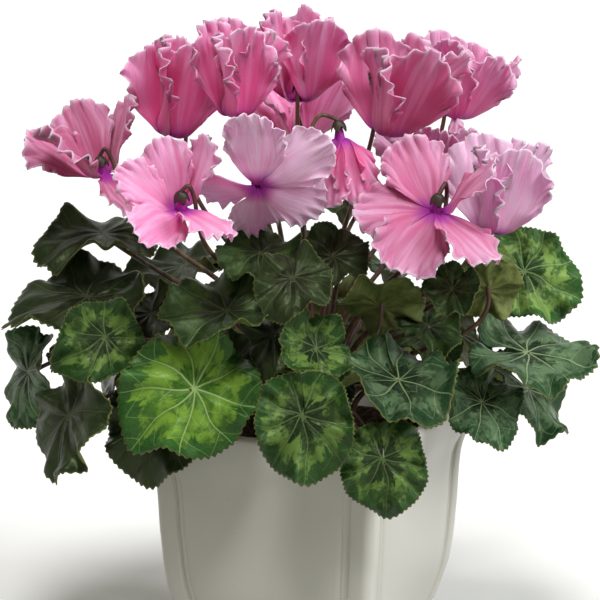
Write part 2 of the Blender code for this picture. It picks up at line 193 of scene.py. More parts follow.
def own_place(tree):
    """Where a point lies on its object, in metres."""
    return node(tree, "ShaderNodeTexCoord").outputs["Object"]


def noise(tree, place, scale, detail, roughness=0.5):
    """A soft random pattern from 0 to 1."""
    inputs = {"Vector": place, "Scale": scale, "Detail": detail, "Roughness": roughness}
    return node(tree, "ShaderNodeTexNoise", inputs).outputs["Fac"]


def two_tone(tree, value, low, high, first, second):
    """The first colour where a value is below low, the second above high, and an even mix between."""
    made = node(tree, "ShaderNodeValToRGB", {"Fac": value})
    for element, position, colour in zip(made.color_ramp.elements, (low, high), (first, second)):
        element.position = position
        element.color = (*colour, 1)
    return made.outputs["Color"]


def blend(tree, share, first, second):
    """The first colour, with a share from 0 to 1 of the second."""
    inputs = {"Factor": share}
    for label, colour in (("A", first), ("B", second)):
        inputs[label] = (*colour, 1) if isinstance(colour, tuple) else colour
    return node(tree, "ShaderNodeMix", inputs, data_type="RGBA").outputs["Result"]


def relief(tree, shader, height, strength, distance):
    """Gives a material a fine relief from a height that changes over the surface."""
    bump = node(tree, "ShaderNodeBump", {"Height": height, "Strength": strength, "Distance": distance})
    wire(tree, shader, Normal=bump.outputs["Normal"])


def smooth(x, low=0.0, high=1.0):
    """0 below low, 1 above high and an even ramp between."""
    t = min(max((x - low) / (high - low), 0.0), 1.0)
    return t * t * (3 - 2 * t)


def eased(rows, height):
    """A half width from (height, half width) rows, on a curve with no corners."""
    rows = sorted(rows)
    for i in range(len(rows) - 1):
        if rows[i][0] <= height <= rows[i + 1][0]:
            break
    (h0, w0), (h1, w1) = rows[i], rows[i + 1]
    before = rows[i - 1] if i else rows[i]
    after = rows[i + 2] if i + 2 < len(rows) else rows[i + 1]
    span = h1 - h0
    m0 = (w1 - before[1]) / (h1 - before[0]) * span
    m1 = (after[1] - w0) / (after[0] - h0) * span
    t = (height - h0) / span
    ends = w0 * (2 * t**3 - 3 * t**2 + 1) + w1 * (3 * t**2 - 2 * t**3)
    return ends + m0 * (t**3 - 2 * t**2 + t) + m1 * (t**3 - t**2)


def square_ring(half, height, corner, groove):
    """A rounded square; groove is the depth of the two lines beside each corner strip."""
    beside = [(x + STRIP - 1.0, depth * groove) for x, depth in GROOVE_FORM]
    edge = beside[-1][0]
    flat = half - edge - 1
    ring = []
    for side in range(4):
        turn = Matrix.Rotation(math.radians(90 * side), 3, "Z")
        left = [(-half + along, -half + depth) for along, depth in beside]
        middle = [(-half + edge + (2 * flat + 2) * k / 8, -half) for k in range(1, 8)]
        right = [(-x, y) for x, y in reversed(left)]
        heart = Vector((half - corner, -half + corner))
        arc = []
        for k in range(CORNER_STEPS + 1):
            a = math.radians(90 * k / CORNER_STEPS)
            arc.append(heart + corner * Vector((math.sin(a), -math.cos(a))))
        ring += [turn @ Vector((x, y, height)) for x, y in left + middle + right + arc]
    return ring


outside_heights = [0, 0.8, 2, 3.5, 5, 7, 9] + list(range(12, 132, 4))
outside_heights += [130, 132, 135, 138, 141, 144, 146, 147.5]
inside_heights = [146, 142, 138, 134, 130, 124, 116, 108, 100, 80, 60, 40, 20, 10]
rings = []
for height in outside_heights:
    fade = (1 - smooth(height, GROOVE_TOP - 9, GROOVE_TOP)) * smooth(height, -4, 6)
    rings.append(square_ring(eased(POT_OUTSIDE, height), height, CORNER_RADIUS, GROOVE * fade))
rings += [square_ring(half, height, CORNER_RADIUS - 1, 0) for height, half in LIP]
rings += [square_ring(eased(POT_INSIDE, height), height, CORNER_RADIUS - 3, 0) for height in inside_heights]
count = len(rings[0])
foot = tuple(reversed(range(count)))
bottom = tuple(range((len(rings) - 1) * count, len(rings) * count))
faces = [foot] + quads(0, len(rings), count) + [bottom]

warm_glaze, tree, shader = finish("warm_glaze", (0.68, 0.67, 0.60), 0.34, Coat_Weight=0.15)
shader.inputs["Coat Roughness"].default_value = 0.2
place = own_place(tree)
pooling = noise(tree, place, 9.0, 1.0)
tone = two_tone(tree, pooling, 0.3, 0.7, (0.640, 0.630, 0.560), (0.680, 0.673, 0.607))
specks = noise(tree, place, 420.0, 2.0)
speck_mask = node(tree, "ShaderNodeMapRange", {"Value": specks, "From Min": 0.74, "From Max": 0.82})
speckled = blend(tree, speck_mask.outputs["Result"], tone, (0.50, 0.46, 0.38))
gloss = node(tree, "ShaderNodeMapRange", {"Value": pooling, "To Min": 0.26, "To Max": 0.34})
wire(tree, shader, Base_Color=speckled, Roughness=gloss.outputs["Result"])
relief(tree, shader, noise(tree, place, 14.0, 1.0), 0.05, 0.002)

pot = add_mesh("glazed_pot", [p for ring in rings for p in ring], faces, [warm_glaze], 40)
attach(pot, "root")
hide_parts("pot")


# ================================================================ compost
# Dark peat-based potting mix pressed into the pot to a finger's width below the rim. Its top is crumbly,
# with loose crumbs and flecks of bark, and it is mounded a little around the tuber.

FIT = 0.4
SOIL_TOP = 137.0
SOIL_BOTTOM = 11.0
SOIL_CELLS = 64
LOOSE_CRUMBS = 420
TUBER_RADIUS = 34.0
TUBER_HALF_HEIGHT = 17.0
TUBER_MIDDLE = 131.0

rng = random.Random(71)
reach = eased(POT_INSIDE, SOIL_TOP) - FIT
points = []
for row in range(SOIL_CELLS + 1):
    for col in range(SOIL_CELLS + 1):
        x = reach * (2 * col / SOIL_CELLS - 1)
        y = reach * (2 * row / SOIL_CELLS - 1)
        away = max(abs(x), abs(y)) / reach
        crumb = rng.uniform(-1.2, 1.2) + 1.5 * math.sin(0.13 * x + 1) * math.sin(0.11 * y + 2)
        mound = 2.0 * math.exp(-((math.hypot(x, y) - TUBER_RADIUS) / 12) ** 2)
        points.append(Vector((x, y, SOIL_TOP + (crumb + mound) * (1 - away**8) - 1.2 * away**6)))
across = SOIL_CELLS + 1
faces = quads(0, across, across, closed=False)
# the points round the top's edge, in order, and the plug's side and underside below them
last = across - 1
rim = list(range(across)) + [i * across + last for i in range(1, across)]
rim += [last * across + last - i for i in range(1, across)] + [(last - i) * across for i in range(1, last)]
base = len(points)
low = eased(POT_INSIDE, SOIL_BOTTOM) - FIT
points += [Vector((points[i].x * low / reach, points[i].y * low / reach, SOIL_BOTTOM)) for i in rim]
for i in range(len(rim)):
    j = (i + 1) % len(rim)
    faces.append((rim[i], base + i, base + j, rim[j]))
faces.append(tuple(base + len(rim) - 1 - i for i in range(len(rim))))
for crumb in range(LOOSE_CRUMBS):
    x, y = rng.uniform(-reach + 4, reach - 4), rng.uniform(-reach + 4, reach - 4)
    size = rng.uniform(0.8, 2.6)
    shape = bmesh.new()
    bmesh.ops.create_icosphere(shape, subdivisions=1, radius=1)
    flat = rng.uniform(0.4, 1.0)
    turn = Matrix.Rotation(rng.uniform(0, math.tau), 3, "Z") @ Matrix.Rotation(rng.uniform(-0.5, 0.5), 3, "X")
    first = len(points)
    for vertex in shape.verts:
        lump = vertex.co * size * rng.uniform(0.75, 1.15)
        points.append(Vector((x, y, SOIL_TOP + 1.2)) + turn @ Vector((lump.x, lump.y * 0.7, lump.z * flat)))
    faces += [tuple(first + v.index for v in face.verts) for face in shape.faces]
    shape.free()

peat, tree, shader = finish("peat", (0.05, 0.035, 0.025), 0.95, Specular_IOR_Level=0.2)
grain = noise(tree, own_place(tree), 260.0, 6.0)
wire(tree, shader, Base_Color=two_tone(tree, grain, 0.35, 0.75, (0.018, 0.012, 0.008), (0.13, 0.085, 0.055)))
relief(tree, shader, grain, 0.9, 0.003)
soil = add_mesh("potting_mix", points, faces, [peat], 50)
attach(soil, "root")
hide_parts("soil")


# ================================================================ tuber
# The corky brown tuber that the whole plant grows from, flattened like a bun and sunk to its waist in the
# compost. Its skin is cracked in rings around the crown, where the stems stand.

shape = bmesh.new()
bmesh.ops.create_uvsphere(shape, u_segments=96, v_segments=56, radius=1)
points = []
for vertex in shape.verts:
    co = vertex.co
    turn = math.atan2(co.y, co.x)
    swell = 1 + 0.02 * math.sin(3 * turn + 1) + 0.012 * math.sin(7 * turn + 4 * co.z) - 0.012
    swell += 0.008 * math.sin(30 * co.z + 2 * math.sin(3 * turn))
    wide = TUBER_RADIUS * swell
    points.append(Vector((co.x * wide, co.y * wide, TUBER_MIDDLE + co.z * TUBER_HALF_HEIGHT)))
faces = [tuple(v.index for v in face.verts) for face in shape.faces]
shape.free()
cork_skin, tree, shader = finish("cork_skin", (0.2, 0.13, 0.09), 0.85)
cracks = noise(tree, own_place(tree), 90.0, 8.0, 0.7)
wire(tree, shader, Base_Color=two_tone(tree, cracks, 0.35, 0.7, (0.06, 0.035, 0.022), (0.27, 0.17, 0.11)))
relief(tree, shader, cracks, 0.7, 0.002)
tuber = add_mesh("corky_tuber", points, faces, [cork_skin])
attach(tuber, "root")
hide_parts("tuber")


# ================================================================ leaves
# Each leaf is one thin heart-shaped blade with waved, finely toothed edges, grown on a fleshy stem from the
# tuber's crown. Its face is marbled in silver or yellow-green round a dark middle; the underside is dull.

# azimuth, reach and height of the joint; heading, droop, roll, length, cup and bow; kind of marbling
LEAVES = [
    (-160, 127, 259, -152, 0, -14, 76, 0.0, 0, "dusky"),
    (-147, 138, 226, -145, 5, -20, 86, 0.0, -8, "dusky"),
    (-128, 138, 208, -130, 15, -60, 55, 0.1, 0, "banded"),
    (-151, 174, 177, -142, 70, -18, 64, 0.0, 0, "silver"),
    (-131, 157, 162, -140, 64, -20, 72, 0.0, -18, "dusky"),
    (-123, 112, 158, -80, 65, -5, 64, 0.0, 5, "dusky"),
    (-104, 110, 185, -130, 35, -50, 86, 0.0, 0, "bright"),
    (-99, 89, 229, -145, 5, -25, 68, 0.3, 0, "deep"),
    (-95, 59, 258, -110, 10, -20, 53, 0.1, -8, "deep"),
    (-72, 87, 250, -75, 35, 0, 50, 0.0, 0, "dusky"),
    (-64, 95, 209, -115, -5, -55, 48, 0.35, 0, "banded"),
    (-67, 126, 177, -65, 70, 5, 64, 0.1, 0, "banded"),
    (-80, 79, 216, -95, 55, 20, 50, 0.0, 0, "dusky"),
    (-36, 102, 191, -52, 15, 0, 76, 0.2, 0, "silver"),
    (-46, 127, 150, -45, 75, 15, 56, 0.0, -6, "banded"),
    # the next three leaves carry the pale marbling: their own silver, made brighter as painted light
    (3, 110, 166, -20, 45, 15, 54, 0.1, 1, "pale"),
    (25, 133, 164, 5, 42, 5, 68, 0.0, 0, "pale"),
    (13, 132, 192, 15, 5, 18, 80, 0.1, 0, "pale"),
    (25, 130, 236, 20, 20, 62, 66, 0.0, 0, "fresh"),
    (7, 111, 232, -80, -70, 25, 46, 0.0, 5, "deep"),
    (-17, 111, 242, -100, 35, -15, 36, 0.2, 0, "deep"),
    (-30, 72, 228, -65, -50, 0, 59, 0.0, 0, "deep"),
    (-52, 52, 256, -90, 35, -10, 50, 0.0, 0, "dusky"),
    (176, 93, 231, -170, 0, -15, 70, 0.0, 0, "dusky"),
    (58, 112, 186, 58, 50, 0, 84, 0.0, 0, "banded"),
    (98, 114, 176, 98, 55, 0, 84, 0.0, 0, "silver"),
    (128, 116, 194, 128, 45, 0, 84, 0.0, 0, "banded"),
    (168, 120, 176, 168, 55, 0, 82, 0.0, 0, "silver"),
    (74, 84, 225, 70, 14, 0, 76, 0.0, 0, "deep"),
    (132, 80, 232, 135, 14, 0, 79, 0.0, 0, "silver"),
    (88, 66, 266, 86, 14, 0, 63, 0.1, 0, "deep"),
]
# small leaves deep in the plant, told like the others
YOUNG_LEAVES = [
    (-160, 124, 168, -152, 62, 0, 54, 0.0, 0, "dusky"),
    (-156, 146, 196, -165, 45, 10, 44, 0.0, 0, "deep"),
    (-152, 98, 212, -120, 30, -10, 52, 0.0, 0, "dusky"),
    (24, 70, 196, -10, 40, 10, 54, 0.0, 0, "deep"),
    (-10, 84, 214, -40, 25, 0, 44, 0.1, 0, "deep"),
    (-112, 70, 190, -110, 45, 0, 52, 0.0, 0, "dusky"),
    (-62, 66, 186, -60, 50, 0, 50, 0.0, 0, "deep"),
]
BLADE_THICKNESS = 0.6
SINUS = 4.0  # half the angle of the notch at the stem, in degrees
STEM_SEAT = 3.2
LEAF_STEM = (1.9, 1.3)  # radius at the tuber and at the blade
LEAF_STEM_PIECES = 30
STEM_SIDES = 12
CROWN_RADIUS = 26.0  # the stems stand inside this circle
STEM_DEPTH = 6.0
GOLDEN_ANGLE = math.radians(137.508)
RAYS = 252
BLADE_RINGS = (0, 0.06, 0.16, 0.28, 0.41, 0.54, 0.66, 0.76, 0.84, 0.91, 0.96, 1.0)
TEETH = 63
TOOTH_DEPTH = 0.045
LOBE_OVERLAP = 0.045
# the main veins' angle from one to the next, and the side veins' spacing and slant
VEIN_SECTOR = 0.70
VEIN_RUNG = 0.17
VEIN_SLANT = 0.9


def polar(azimuth, reach, height):
    """A point from its azimuth in degrees, its distance out from the plant's axis and its height."""
    a = math.radians(azimuth)
    return Vector((reach * math.cos(a), reach * math.sin(a), height))


def crown_sites(count):
    """Where the stems stand on the tuber: a sunflower spiral, from the middle out."""
    sites = []
    for i in range(count):
        out = CROWN_RADIUS * math.sqrt((i + 0.5) / count)
        turn = i * GOLDEN_ANGLE
        top = TUBER_MIDDLE + TUBER_HALF_HEIGHT * math.sqrt(1 - (out / TUBER_RADIUS) ** 2)
        sites.append(Vector((out * math.cos(turn), out * math.sin(turn), top)))
    return sites


def take_site(sites, azimuth):
    """Takes the free site that lies furthest out towards an azimuth."""
    away = polar(azimuth, 1, 0)
    site = max(sites, key=lambda s: s.x * away.x + s.y * away.y)
    sites.remove(site)
    return site


def bezier(a, b, c, d, pieces):
    """Points of a cubic curve from a to d, with the handles b and c."""
    points = []
    for i in range(pieces + 1):
        t = i / pieces
        u = 1 - t
        points.append(a * u**3 + b * (3 * u * u * t) + c * (3 * u * t * t) + d * t**3)
    return points


class Leaf:
    """One leaf: where its blade joins its stem, how the blade lies, and how it is waved."""

    def __init__(self, number, azimuth, reach, height, heading, droop, roll, length, cup, bow, kind):
        self.number = number
        self.azimuth = azimuth
        self.length = length
        self.cup = cup
        self.bow = bow
        self.kind = kind
        self.joint = polar(azimuth, reach, height)
        turn = Matrix.Rotation(math.radians(heading), 3, "Z")
        tilt = Matrix.Rotation(math.radians(droop), 3, "Y")
        bank = Matrix.Rotation(math.radians(roll), 3, "X")
        self.lie = turn @ tilt @ bank
        rng = random.Random(number)
        self.waves = rng.choice((3, 4, 5))
        self.phase = rng.uniform(0, math.tau)
        self.wave_height = rng.uniform(0.045, 0.07)
        self.fold = rng.uniform(0.02, 0.14)
        self.waver = [(k, rng.uniform(0, math.tau), rng.uniform(0.6, 1.2)) for k in (6, 9, 14)]
        self.drift = rng.uniform(0, math.tau)
        self.curls = rng.choice((2, 3)), rng.uniform(0, math.tau), rng.uniform(0.5, 1.3)

    def margin(self, angle):
        """Distance from the joint to the blade's edge, angle in radians from the tip."""
        away = abs(angle)
        heart = 0.465 + 0.075 * math.cos(away) + 0.015 * math.cos(2 * away)
        lobe = 0.055 * math.exp(-(((away - math.radians(140)) / 0.55) ** 2))
        point = 0.05 * math.exp(-((away / 0.2) ** 2))
        return self.length * (heart + lobe + point)

    def flat(self, angle, t):
        """A point of the blade pressed flat: its lobes overlap at the notch, and small teeth run round it."""
        tooth = 1 - 2 * abs((angle * TEETH / math.tau) % 1 - 0.5)
        lobe = 1 - 0.10 * math.exp(-(((math.pi - abs(angle)) / 0.16) ** 2))
        angle *= 1 + LOBE_OVERLAP * smooth(abs(angle), 2.2, math.pi) * smooth(t, 0.1, 0.8)
        out = self.margin(angle) * t * lobe * (1 + TOOTH_DEPTH * (tooth - 0.5) * smooth(t, 0.95, 1.0))
        return out * math.cos(angle), out * math.sin(angle)

    def grown(self, x, y):
        """Where a point of the flat blade lies among its wandering veins, in blade lengths."""
        x, y, d = x / self.length, y / self.length, self.drift
        along = x + 0.022 * math.sin(9 * y + d) + 0.010 * math.sin(19 * y + 7 * x + 2 * d)
        across = y + 0.022 * math.sin(8 * x + 1.7 * d) + 0.010 * math.sin(17 * x - 8 * y + d)
        return along, across

    def pucker(self, x, y):
        """How far the blade swells up between its veins, from 0 on a vein to 1."""
        along, across = self.grown(x, y)
        out = math.hypot(along, across)
        turns = math.atan2(across, along) / VEIN_SECTOR
        beside = abs(turns - round(turns)) * VEIN_SECTOR * out
        rungs = (out - VEIN_SLANT * beside) / VEIN_RUNG
        rung = abs(rungs - round(rungs))
        return smooth(beside, 0.0, 0.09) * (0.7 + 0.3 * smooth(rung, 0.0, 0.4))

    def blade(self, angle, t):
        """A point of the blade, t from 0 at the joint to 1 at the edge."""
        x, y = self.flat(angle, t)
        size = self.length
        # folded along the middle, arched, cupped, and stepped where one lobe lies on the other
        lift = self.fold * abs(y) - 0.55 * max(x, 0) ** 2 / size - 0.25 * y * y / size
        lift += self.cup * 1.6 * (x * x + y * y) / size
        lift += math.copysign(0.03 * size, angle) * smooth(abs(angle), 2.5, math.pi) * smooth(t, 0.0, 0.5)
        # waved, rippled along the edge, swollen between the veins and curled up in places
        lift += 1.25 * self.wave_height * size * t**2.5 * math.sin(self.waves * angle + self.phase)
        ripple = sum(depth * math.sin(k * angle + phase) / k for k, phase, depth in self.waver)
        lift += 0.32 * size * smooth(t, 0.30, 1.0) ** 1.5 * ripple
        lift += 0.020 * size * self.pucker(x, y) * smooth(t, 0.05, 0.3) * (1 - 0.4 * smooth(t, 0.85, 1.0))
        count, start, strength = self.curls
        curl = strength * max(0.0, math.sin(count * angle + start)) ** 1.5
        lift += 0.11 * size * curl * smooth(t, 0.55, 1.0) ** 1.6
        tuck = 1 - 0.09 * curl * smooth(t, 0.7, 1.0) ** 2
        return self.joint + self.lie @ Vector((x * tuck, y * tuck, lift))

    def route(self, site):
        """The stem's route from the tuber to the underside of the blade."""
        start = site - Vector((0, 0, STEM_DEPTH))
        arrival = (self.lie @ Vector((0.75, 0, 0.66))).normalized()
        end = self.blade(0, STEM_SEAT / self.margin(0))
        span = (end - start).length
        side = polar(self.azimuth + 90, 1, 0)
        first = start + Vector((0, 0, STEM_DEPTH + 3))
        rise = start + Vector((0, 0, 0.42 * span)) + side * self.bow
        reach = end - arrival * 0.36 * span + side * self.bow
        return [start] + bezier(first, rise, reach, end, LEAF_STEM_PIECES)


def tube(name, route, radii, paint):
    """A round stem along a route as a closed mesh: a bevelled curve made solid."""
    curve = bpy.data.curves.new(name, "CURVE")
    curve.dimensions = "3D"
    curve.bevel_depth = MM
    curve.bevel_resolution = (STEM_SIDES - 4) // 2
    curve.use_fill_caps = True
    spline = curve.splines.new("POLY")
    spline.points.add(len(route) - 1)
    for i, (point, place) in enumerate(zip(spline.points, route)):
        point.co = (*(place * MM), 1)
        point.radius = radii[0] + (radii[1] - radii[0]) * i / (len(route) - 1)
    drawn = set_up(name, curve)
    mesh = bpy.data.meshes.new_from_object(drawn.evaluated_get(bpy.context.evaluated_depsgraph_get()))
    bpy.data.objects.remove(drawn)
    mesh.materials.clear()
    mesh.materials.append(paint)
    mesh.shade_smooth()
    return set_up(name, mesh)


def thicken(piece, thickness):
    """Gives a sheet its thickness in millimetres, half to each side."""
    skin = piece.modifiers.new("thickness", "SOLIDIFY")
    skin.thickness = thickness * MM
    skin.offset = 0
    return skin


def keep_places(piece, name, values):
    """Keeps a vector at each point of a piece for its material to read."""
    layer = piece.data.attributes.new(name, "FLOAT_VECTOR", "POINT")
    layer.data.foreach_set("vector", [part for value in values for part in value])


def keep_numbers(piece, name, values):
    """Keeps a number at each point of a piece for its material to read."""
    layer = piece.data.attributes.new(name, "FLOAT", "POINT")
    layer.data.foreach_set("value", values)


def kept(tree, name, output="Fac"):
    """What a piece keeps at each point: a number, or a vector from the output Vector."""
    return node(tree, "ShaderNodeAttribute", attribute_name=name).outputs[output]


def group(name, sockets_in, sockets_out):
    """A new group of nodes, with the names and kinds of its inputs and outputs."""
    made = bpy.data.node_groups.new(name, "ShaderNodeTree")
    for sockets, way in ((sockets_in, "INPUT"), (sockets_out, "OUTPUT")):
        for label, kind in sockets.items():
            made.interface.new_socket(label, in_out=way, socket_type=kind)
    return made, made.nodes.new("NodeGroupInput").outputs, made.nodes.new("NodeGroupOutput")


def maths(tree, operation, *values):
    """The result of one operation on numbers or sockets."""
    return node(tree, "ShaderNodeMath", enumerate(values), operation=operation).outputs["Value"]


def times(tree, first, second):
    """Two values multiplied."""
    return maths(tree, "MULTIPLY", first, second)


def plus(tree, first, second):
    """Two values added."""
    return maths(tree, "ADD", first, second)


def minus(tree, first, second):
    """The first value less the second."""
    return maths(tree, "SUBTRACT", first, second)


def off_whole(tree, value):
    """How far a value lies from the nearest whole number."""
    return maths(tree, "ABSOLUTE", minus(tree, value, maths(tree, "ROUND", value)))


def ramp(tree, value, low, high, start=0.0, end=1.0):
    """An even, rounded change from start, where a value is below low, to end, where it is above high."""
    inputs = {"Value": value, "From Min": low, "From Max": high, "To Min": start, "To Max": end}
    return node(tree, "ShaderNodeMapRange", inputs, interpolation_type="SMOOTHSTEP").outputs["Result"]


def vector_maths(tree, operation, first, second):
    """The result of one operation on two vectors."""
    return node(tree, "ShaderNodeVectorMath", {0: first, 1: second}, operation=operation).outputs["Vector"]


def joined(tree, **parts):
    """A vector from its X, Y and Z."""
    return node(tree, "ShaderNodeCombineXYZ", parts).outputs["Vector"]


FLOAT, VECTOR, COLOUR = "NodeSocketFloat", "NodeSocketVector", "NodeSocketColor"

# masks of a leaf's veins: place gives a point's two measures on the flat blade and its share of the way out
tree, start, end = group(
    "leaf_veins",
    {"Place": VECTOR, "Seed": FLOAT},
    dict.fromkeys(("Main", "Side", "Net", "Cushion", "Across", "Blotch", "Patch", "Feather"), FLOAT),
)
leaf_veins = tree
flat_place = vector_maths(tree, "MULTIPLY", start["Place"], (1, 1, 0))
seeded = vector_maths(tree, "ADD", flat_place, joined(tree, Z=start["Seed"]))
parts = node(tree, "ShaderNodeSeparateXYZ", {"Vector": start["Place"]}).outputs
x, y = parts["X"], parts["Y"]
out = maths(tree, "SQRT", plus(tree, times(tree, x, x), times(tree, y, y)))
heading = maths(tree, "ARCTAN2", y, x)
off = off_whole(tree, maths(tree, "DIVIDE", heading, VEIN_SECTOR))
across = times(tree, times(tree, off, VEIN_SECTOR), out)
taper = ramp(tree, out, 0.0, 0.55, 0.0090, 0.0034)
main = minus(tree, 1.0, ramp(tree, maths(tree, "DIVIDE", across, taper), 0.35, 1.0))
rungs = maths(tree, "DIVIDE", minus(tree, out, times(tree, across, VEIN_SLANT)), VEIN_RUNG)
rung = off_whole(tree, rungs)
side = minus(tree, 1.0, ramp(tree, rung, 0.008, 0.030))
side = times(tree, side, ramp(tree, out, 0.12, 0.2))
net = node(tree, "ShaderNodeTexVoronoi", {"Vector": seeded, "Scale": 26.0}, feature="DISTANCE_TO_EDGE")
fine = minus(tree, 1.0, ramp(tree, net.outputs["Distance"], 0.015, 0.07))
cushion = times(tree, ramp(tree, across, 0.0, 0.06), ramp(tree, rung, 0.0, 0.35, 0.5, 1.0))
stretched = vector_maths(tree, "MULTIPLY", joined(tree, X=heading, Y=out, Z=start["Seed"]), (1.0, 0.45, 1.0))
wire(
    tree, end, Main=main, Side=side, Net=fine, Cushion=cushion, Across=across,
    Blotch=noise(tree, seeded, 11.0, 5.0, 0.6), Patch=noise(tree, seeded, 6.5, 3.0, 0.7),
    Feather=noise(tree, stretched, 5.0, 3.0, 0.55),
)

# the upper face's colour: a dark heart, a ragged pale band round it, a darker margin, veins and an olive edge
tree, start, end = group(
    "leaf_marbling",
    {
        "Place": VECTOR,
        **dict.fromkeys(("Seed", "Inner", "Outer", "Band Strength", "Vein Strength"), FLOAT),
        **dict.fromkeys(("Heart", "Margin", "Band", "Vein", "Edge"), COLOUR),
    },
    {"Color": COLOUR, "Height": FLOAT, "Roughness": FLOAT},
)
leaf_marbling = tree
where = {"Place": start["Place"], "Seed": start["Seed"]}
veins = node(tree, "ShaderNodeGroup", where, node_tree=leaf_veins).outputs
spread = node(tree, "ShaderNodeSeparateXYZ", {"Vector": start["Place"]}).outputs["Z"]
ragged = times(tree, minus(tree, veins["Blotch"], 0.5), 0.5)
ragged = plus(tree, ragged, times(tree, minus(tree, veins["Feather"], 0.5), 0.8))
near_vein = minus(tree, 1.0, ramp(tree, veins["Across"], 0.0, 0.06))
inward = plus(tree, spread, ragged)
outward = plus(tree, spread, plus(tree, ragged, times(tree, near_vein, -0.10)))
opening = ramp(tree, minus(tree, inward, start["Inner"]), -0.03, 0.06)
closing = ramp(tree, minus(tree, start["Outer"], outward), -0.03, 0.05)
band = times(tree, times(tree, opening, closing), ramp(tree, veins["Patch"], 0.40, 0.58, 0.12, 1.0))
band = times(tree, band, ramp(tree, veins["Cushion"], 0.0, 0.5, 0.55, 1.0))
band = times(tree, band, start["Band Strength"])
ground = blend(tree, ramp(tree, spread, 0.35, 0.8), start["Heart"], start["Margin"])
depth = ramp(tree, veins["Blotch"], 0.3, 0.7, 0.75, 1.25)
shade = node(tree, "ShaderNodeHueSaturation", {"Color": ground, "Value": depth})
coloured = blend(tree, band, shade.outputs["Color"], start["Band"])
lines = maths(tree, "MAXIMUM", veins["Main"], times(tree, veins["Side"], 0.50))
lines = maths(tree, "MAXIMUM", lines, times(tree, veins["Net"], 0.10))
coloured = blend(tree, times(tree, lines, start["Vein Strength"]), coloured, start["Vein"])
coloured = blend(tree, times(tree, ramp(tree, spread, 0.965, 0.998), 0.65), coloured, start["Edge"])
wire(
    tree, end, Color=coloured, Height=plus(tree, veins["Cushion"], times(tree, veins["Net"], -0.12)),
    Roughness=ramp(tree, veins["Blotch"], 0.3, 0.7, 0.30, 0.46),
)

# inner and outer edge of the band, its strength, vein strength; colours of heart, margin, band and veins
MARBLINGS = {
    "dusky": (
        0.42, 0.76, 0.45, 0.35,
        (0.010, 0.014, 0.006), (0.014, 0.024, 0.008), (0.042, 0.058, 0.022), (0.10, 0.12, 0.06),
    ),
    "deep": (
        0.40, 0.76, 0.55, 0.36,
        (0.008, 0.018, 0.006), (0.013, 0.034, 0.009), (0.055, 0.100, 0.024), (0.14, 0.20, 0.07),
    ),
    "banded": (
        0.38, 0.76, 0.85, 0.36,
        (0.007, 0.020, 0.006), (0.014, 0.046, 0.010), (0.125, 0.210, 0.045), (0.20, 0.29, 0.10),
    ),
    "silver": (
        0.34, 0.78, 0.80, 0.60,
        (0.006, 0.018, 0.008), (0.010, 0.036, 0.013), (0.088, 0.150, 0.074), (0.25, 0.34, 0.16),
    ),
    # pale: the silver marbling made brighter, partly the leaves' own silver and partly painted light for
    # front-right leaves lying in the shade of leaves above
    "pale": (
        0.30, 0.84, 0.90, 0.70,
        (0.008, 0.026, 0.012), (0.013, 0.050, 0.019), (0.115, 0.195, 0.100), (0.32, 0.42, 0.21),
    ),
    "fresh": (
        0.34, 0.80, 0.95, 0.55,
        (0.012, 0.048, 0.010), (0.022, 0.085, 0.018), (0.220, 0.360, 0.085), (0.32, 0.45, 0.18),
    ),
    "bright": (
        0.26, 0.74, 0.80, 0.70,
        (0.045, 0.130, 0.012), (0.026, 0.095, 0.018), (0.200, 0.370, 0.040), (0.36, 0.50, 0.18),
    ),
}
LEAF_EDGE = (0.15, 0.16, 0.04)
leaf_faces = {}
for kind, (inner, outer, strength, vein, heart, margin, marble, line) in MARBLINGS.items():
    paint, tree, shader = finish("leaf_" + kind, margin, 0.4, Specular_IOR_Level=0.26)
    shader.inputs["Specular Tint"].default_value = (0.80, 1.0, 0.55, 1)
    values = {"Place": kept(tree, "leaf_place", "Vector"), "Seed": kept(tree, "leaf_seed")}
    values |= {"Inner": inner, "Outer": outer, "Band Strength": strength, "Vein Strength": vein}
    colours = {"Heart": heart, "Margin": margin, "Band": marble, "Vein": line, "Edge": LEAF_EDGE}
    values |= {label: (*colour, 1) for label, colour in colours.items()}
    pattern = node(tree, "ShaderNodeGroup", values, node_tree=leaf_marbling).outputs
    wire(tree, shader, Base_Color=pattern["Color"], Roughness=pattern["Roughness"])
    relief(tree, shader, pattern["Height"], 0.35, 0.0012)
    leaf_faces[kind] = paint

leaf_back, tree, shader = finish("leaf_underside", (0.12, 0.17, 0.06), 0.6, Specular_IOR_Level=0.3)
values = {"Place": kept(tree, "leaf_place", "Vector"), "Seed": kept(tree, "leaf_seed")}
veins = node(tree, "ShaderNodeGroup", values, node_tree=leaf_veins).outputs
dull = blend(tree, ramp(tree, veins["Blotch"], 0.35, 0.65), (0.085, 0.115, 0.026), (0.165, 0.200, 0.050))
lines = maths(tree, "MAXIMUM", veins["Main"], times(tree, veins["Side"], 0.5))
wire(tree, shader, Base_Color=blend(tree, times(tree, lines, 0.7), dull, (0.23, 0.21, 0.09)))
relief(tree, shader, minus(tree, 1.0, veins["Cushion"]), 0.6, 0.0012)

stem_skin, tree, shader = finish("stem_skin", (0.16, 0.06, 0.05), 0.45, Subsurface_Weight=0.05)
shader.inputs["Subsurface Scale"].default_value = 0.002
place = own_place(tree)
long_grain = node(tree, "ShaderNodeMapping", {"Vector": place, "Scale": (1.0, 1.0, 0.12)}).outputs["Vector"]
streak = noise(tree, long_grain, 300.0, 4.0)
patch = noise(tree, place, 14.0, 2.0)
tinge = blend(tree, ramp(tree, patch, 0.35, 0.65), (0.085, 0.020, 0.016), (0.150, 0.095, 0.040))
wire(tree, shader, Base_Color=blend(tree, ramp(tree, streak, 0.35, 0.7), tinge, (0.040, 0.012, 0.009)))
relief(tree, shader, streak, 0.3, 0.0006)

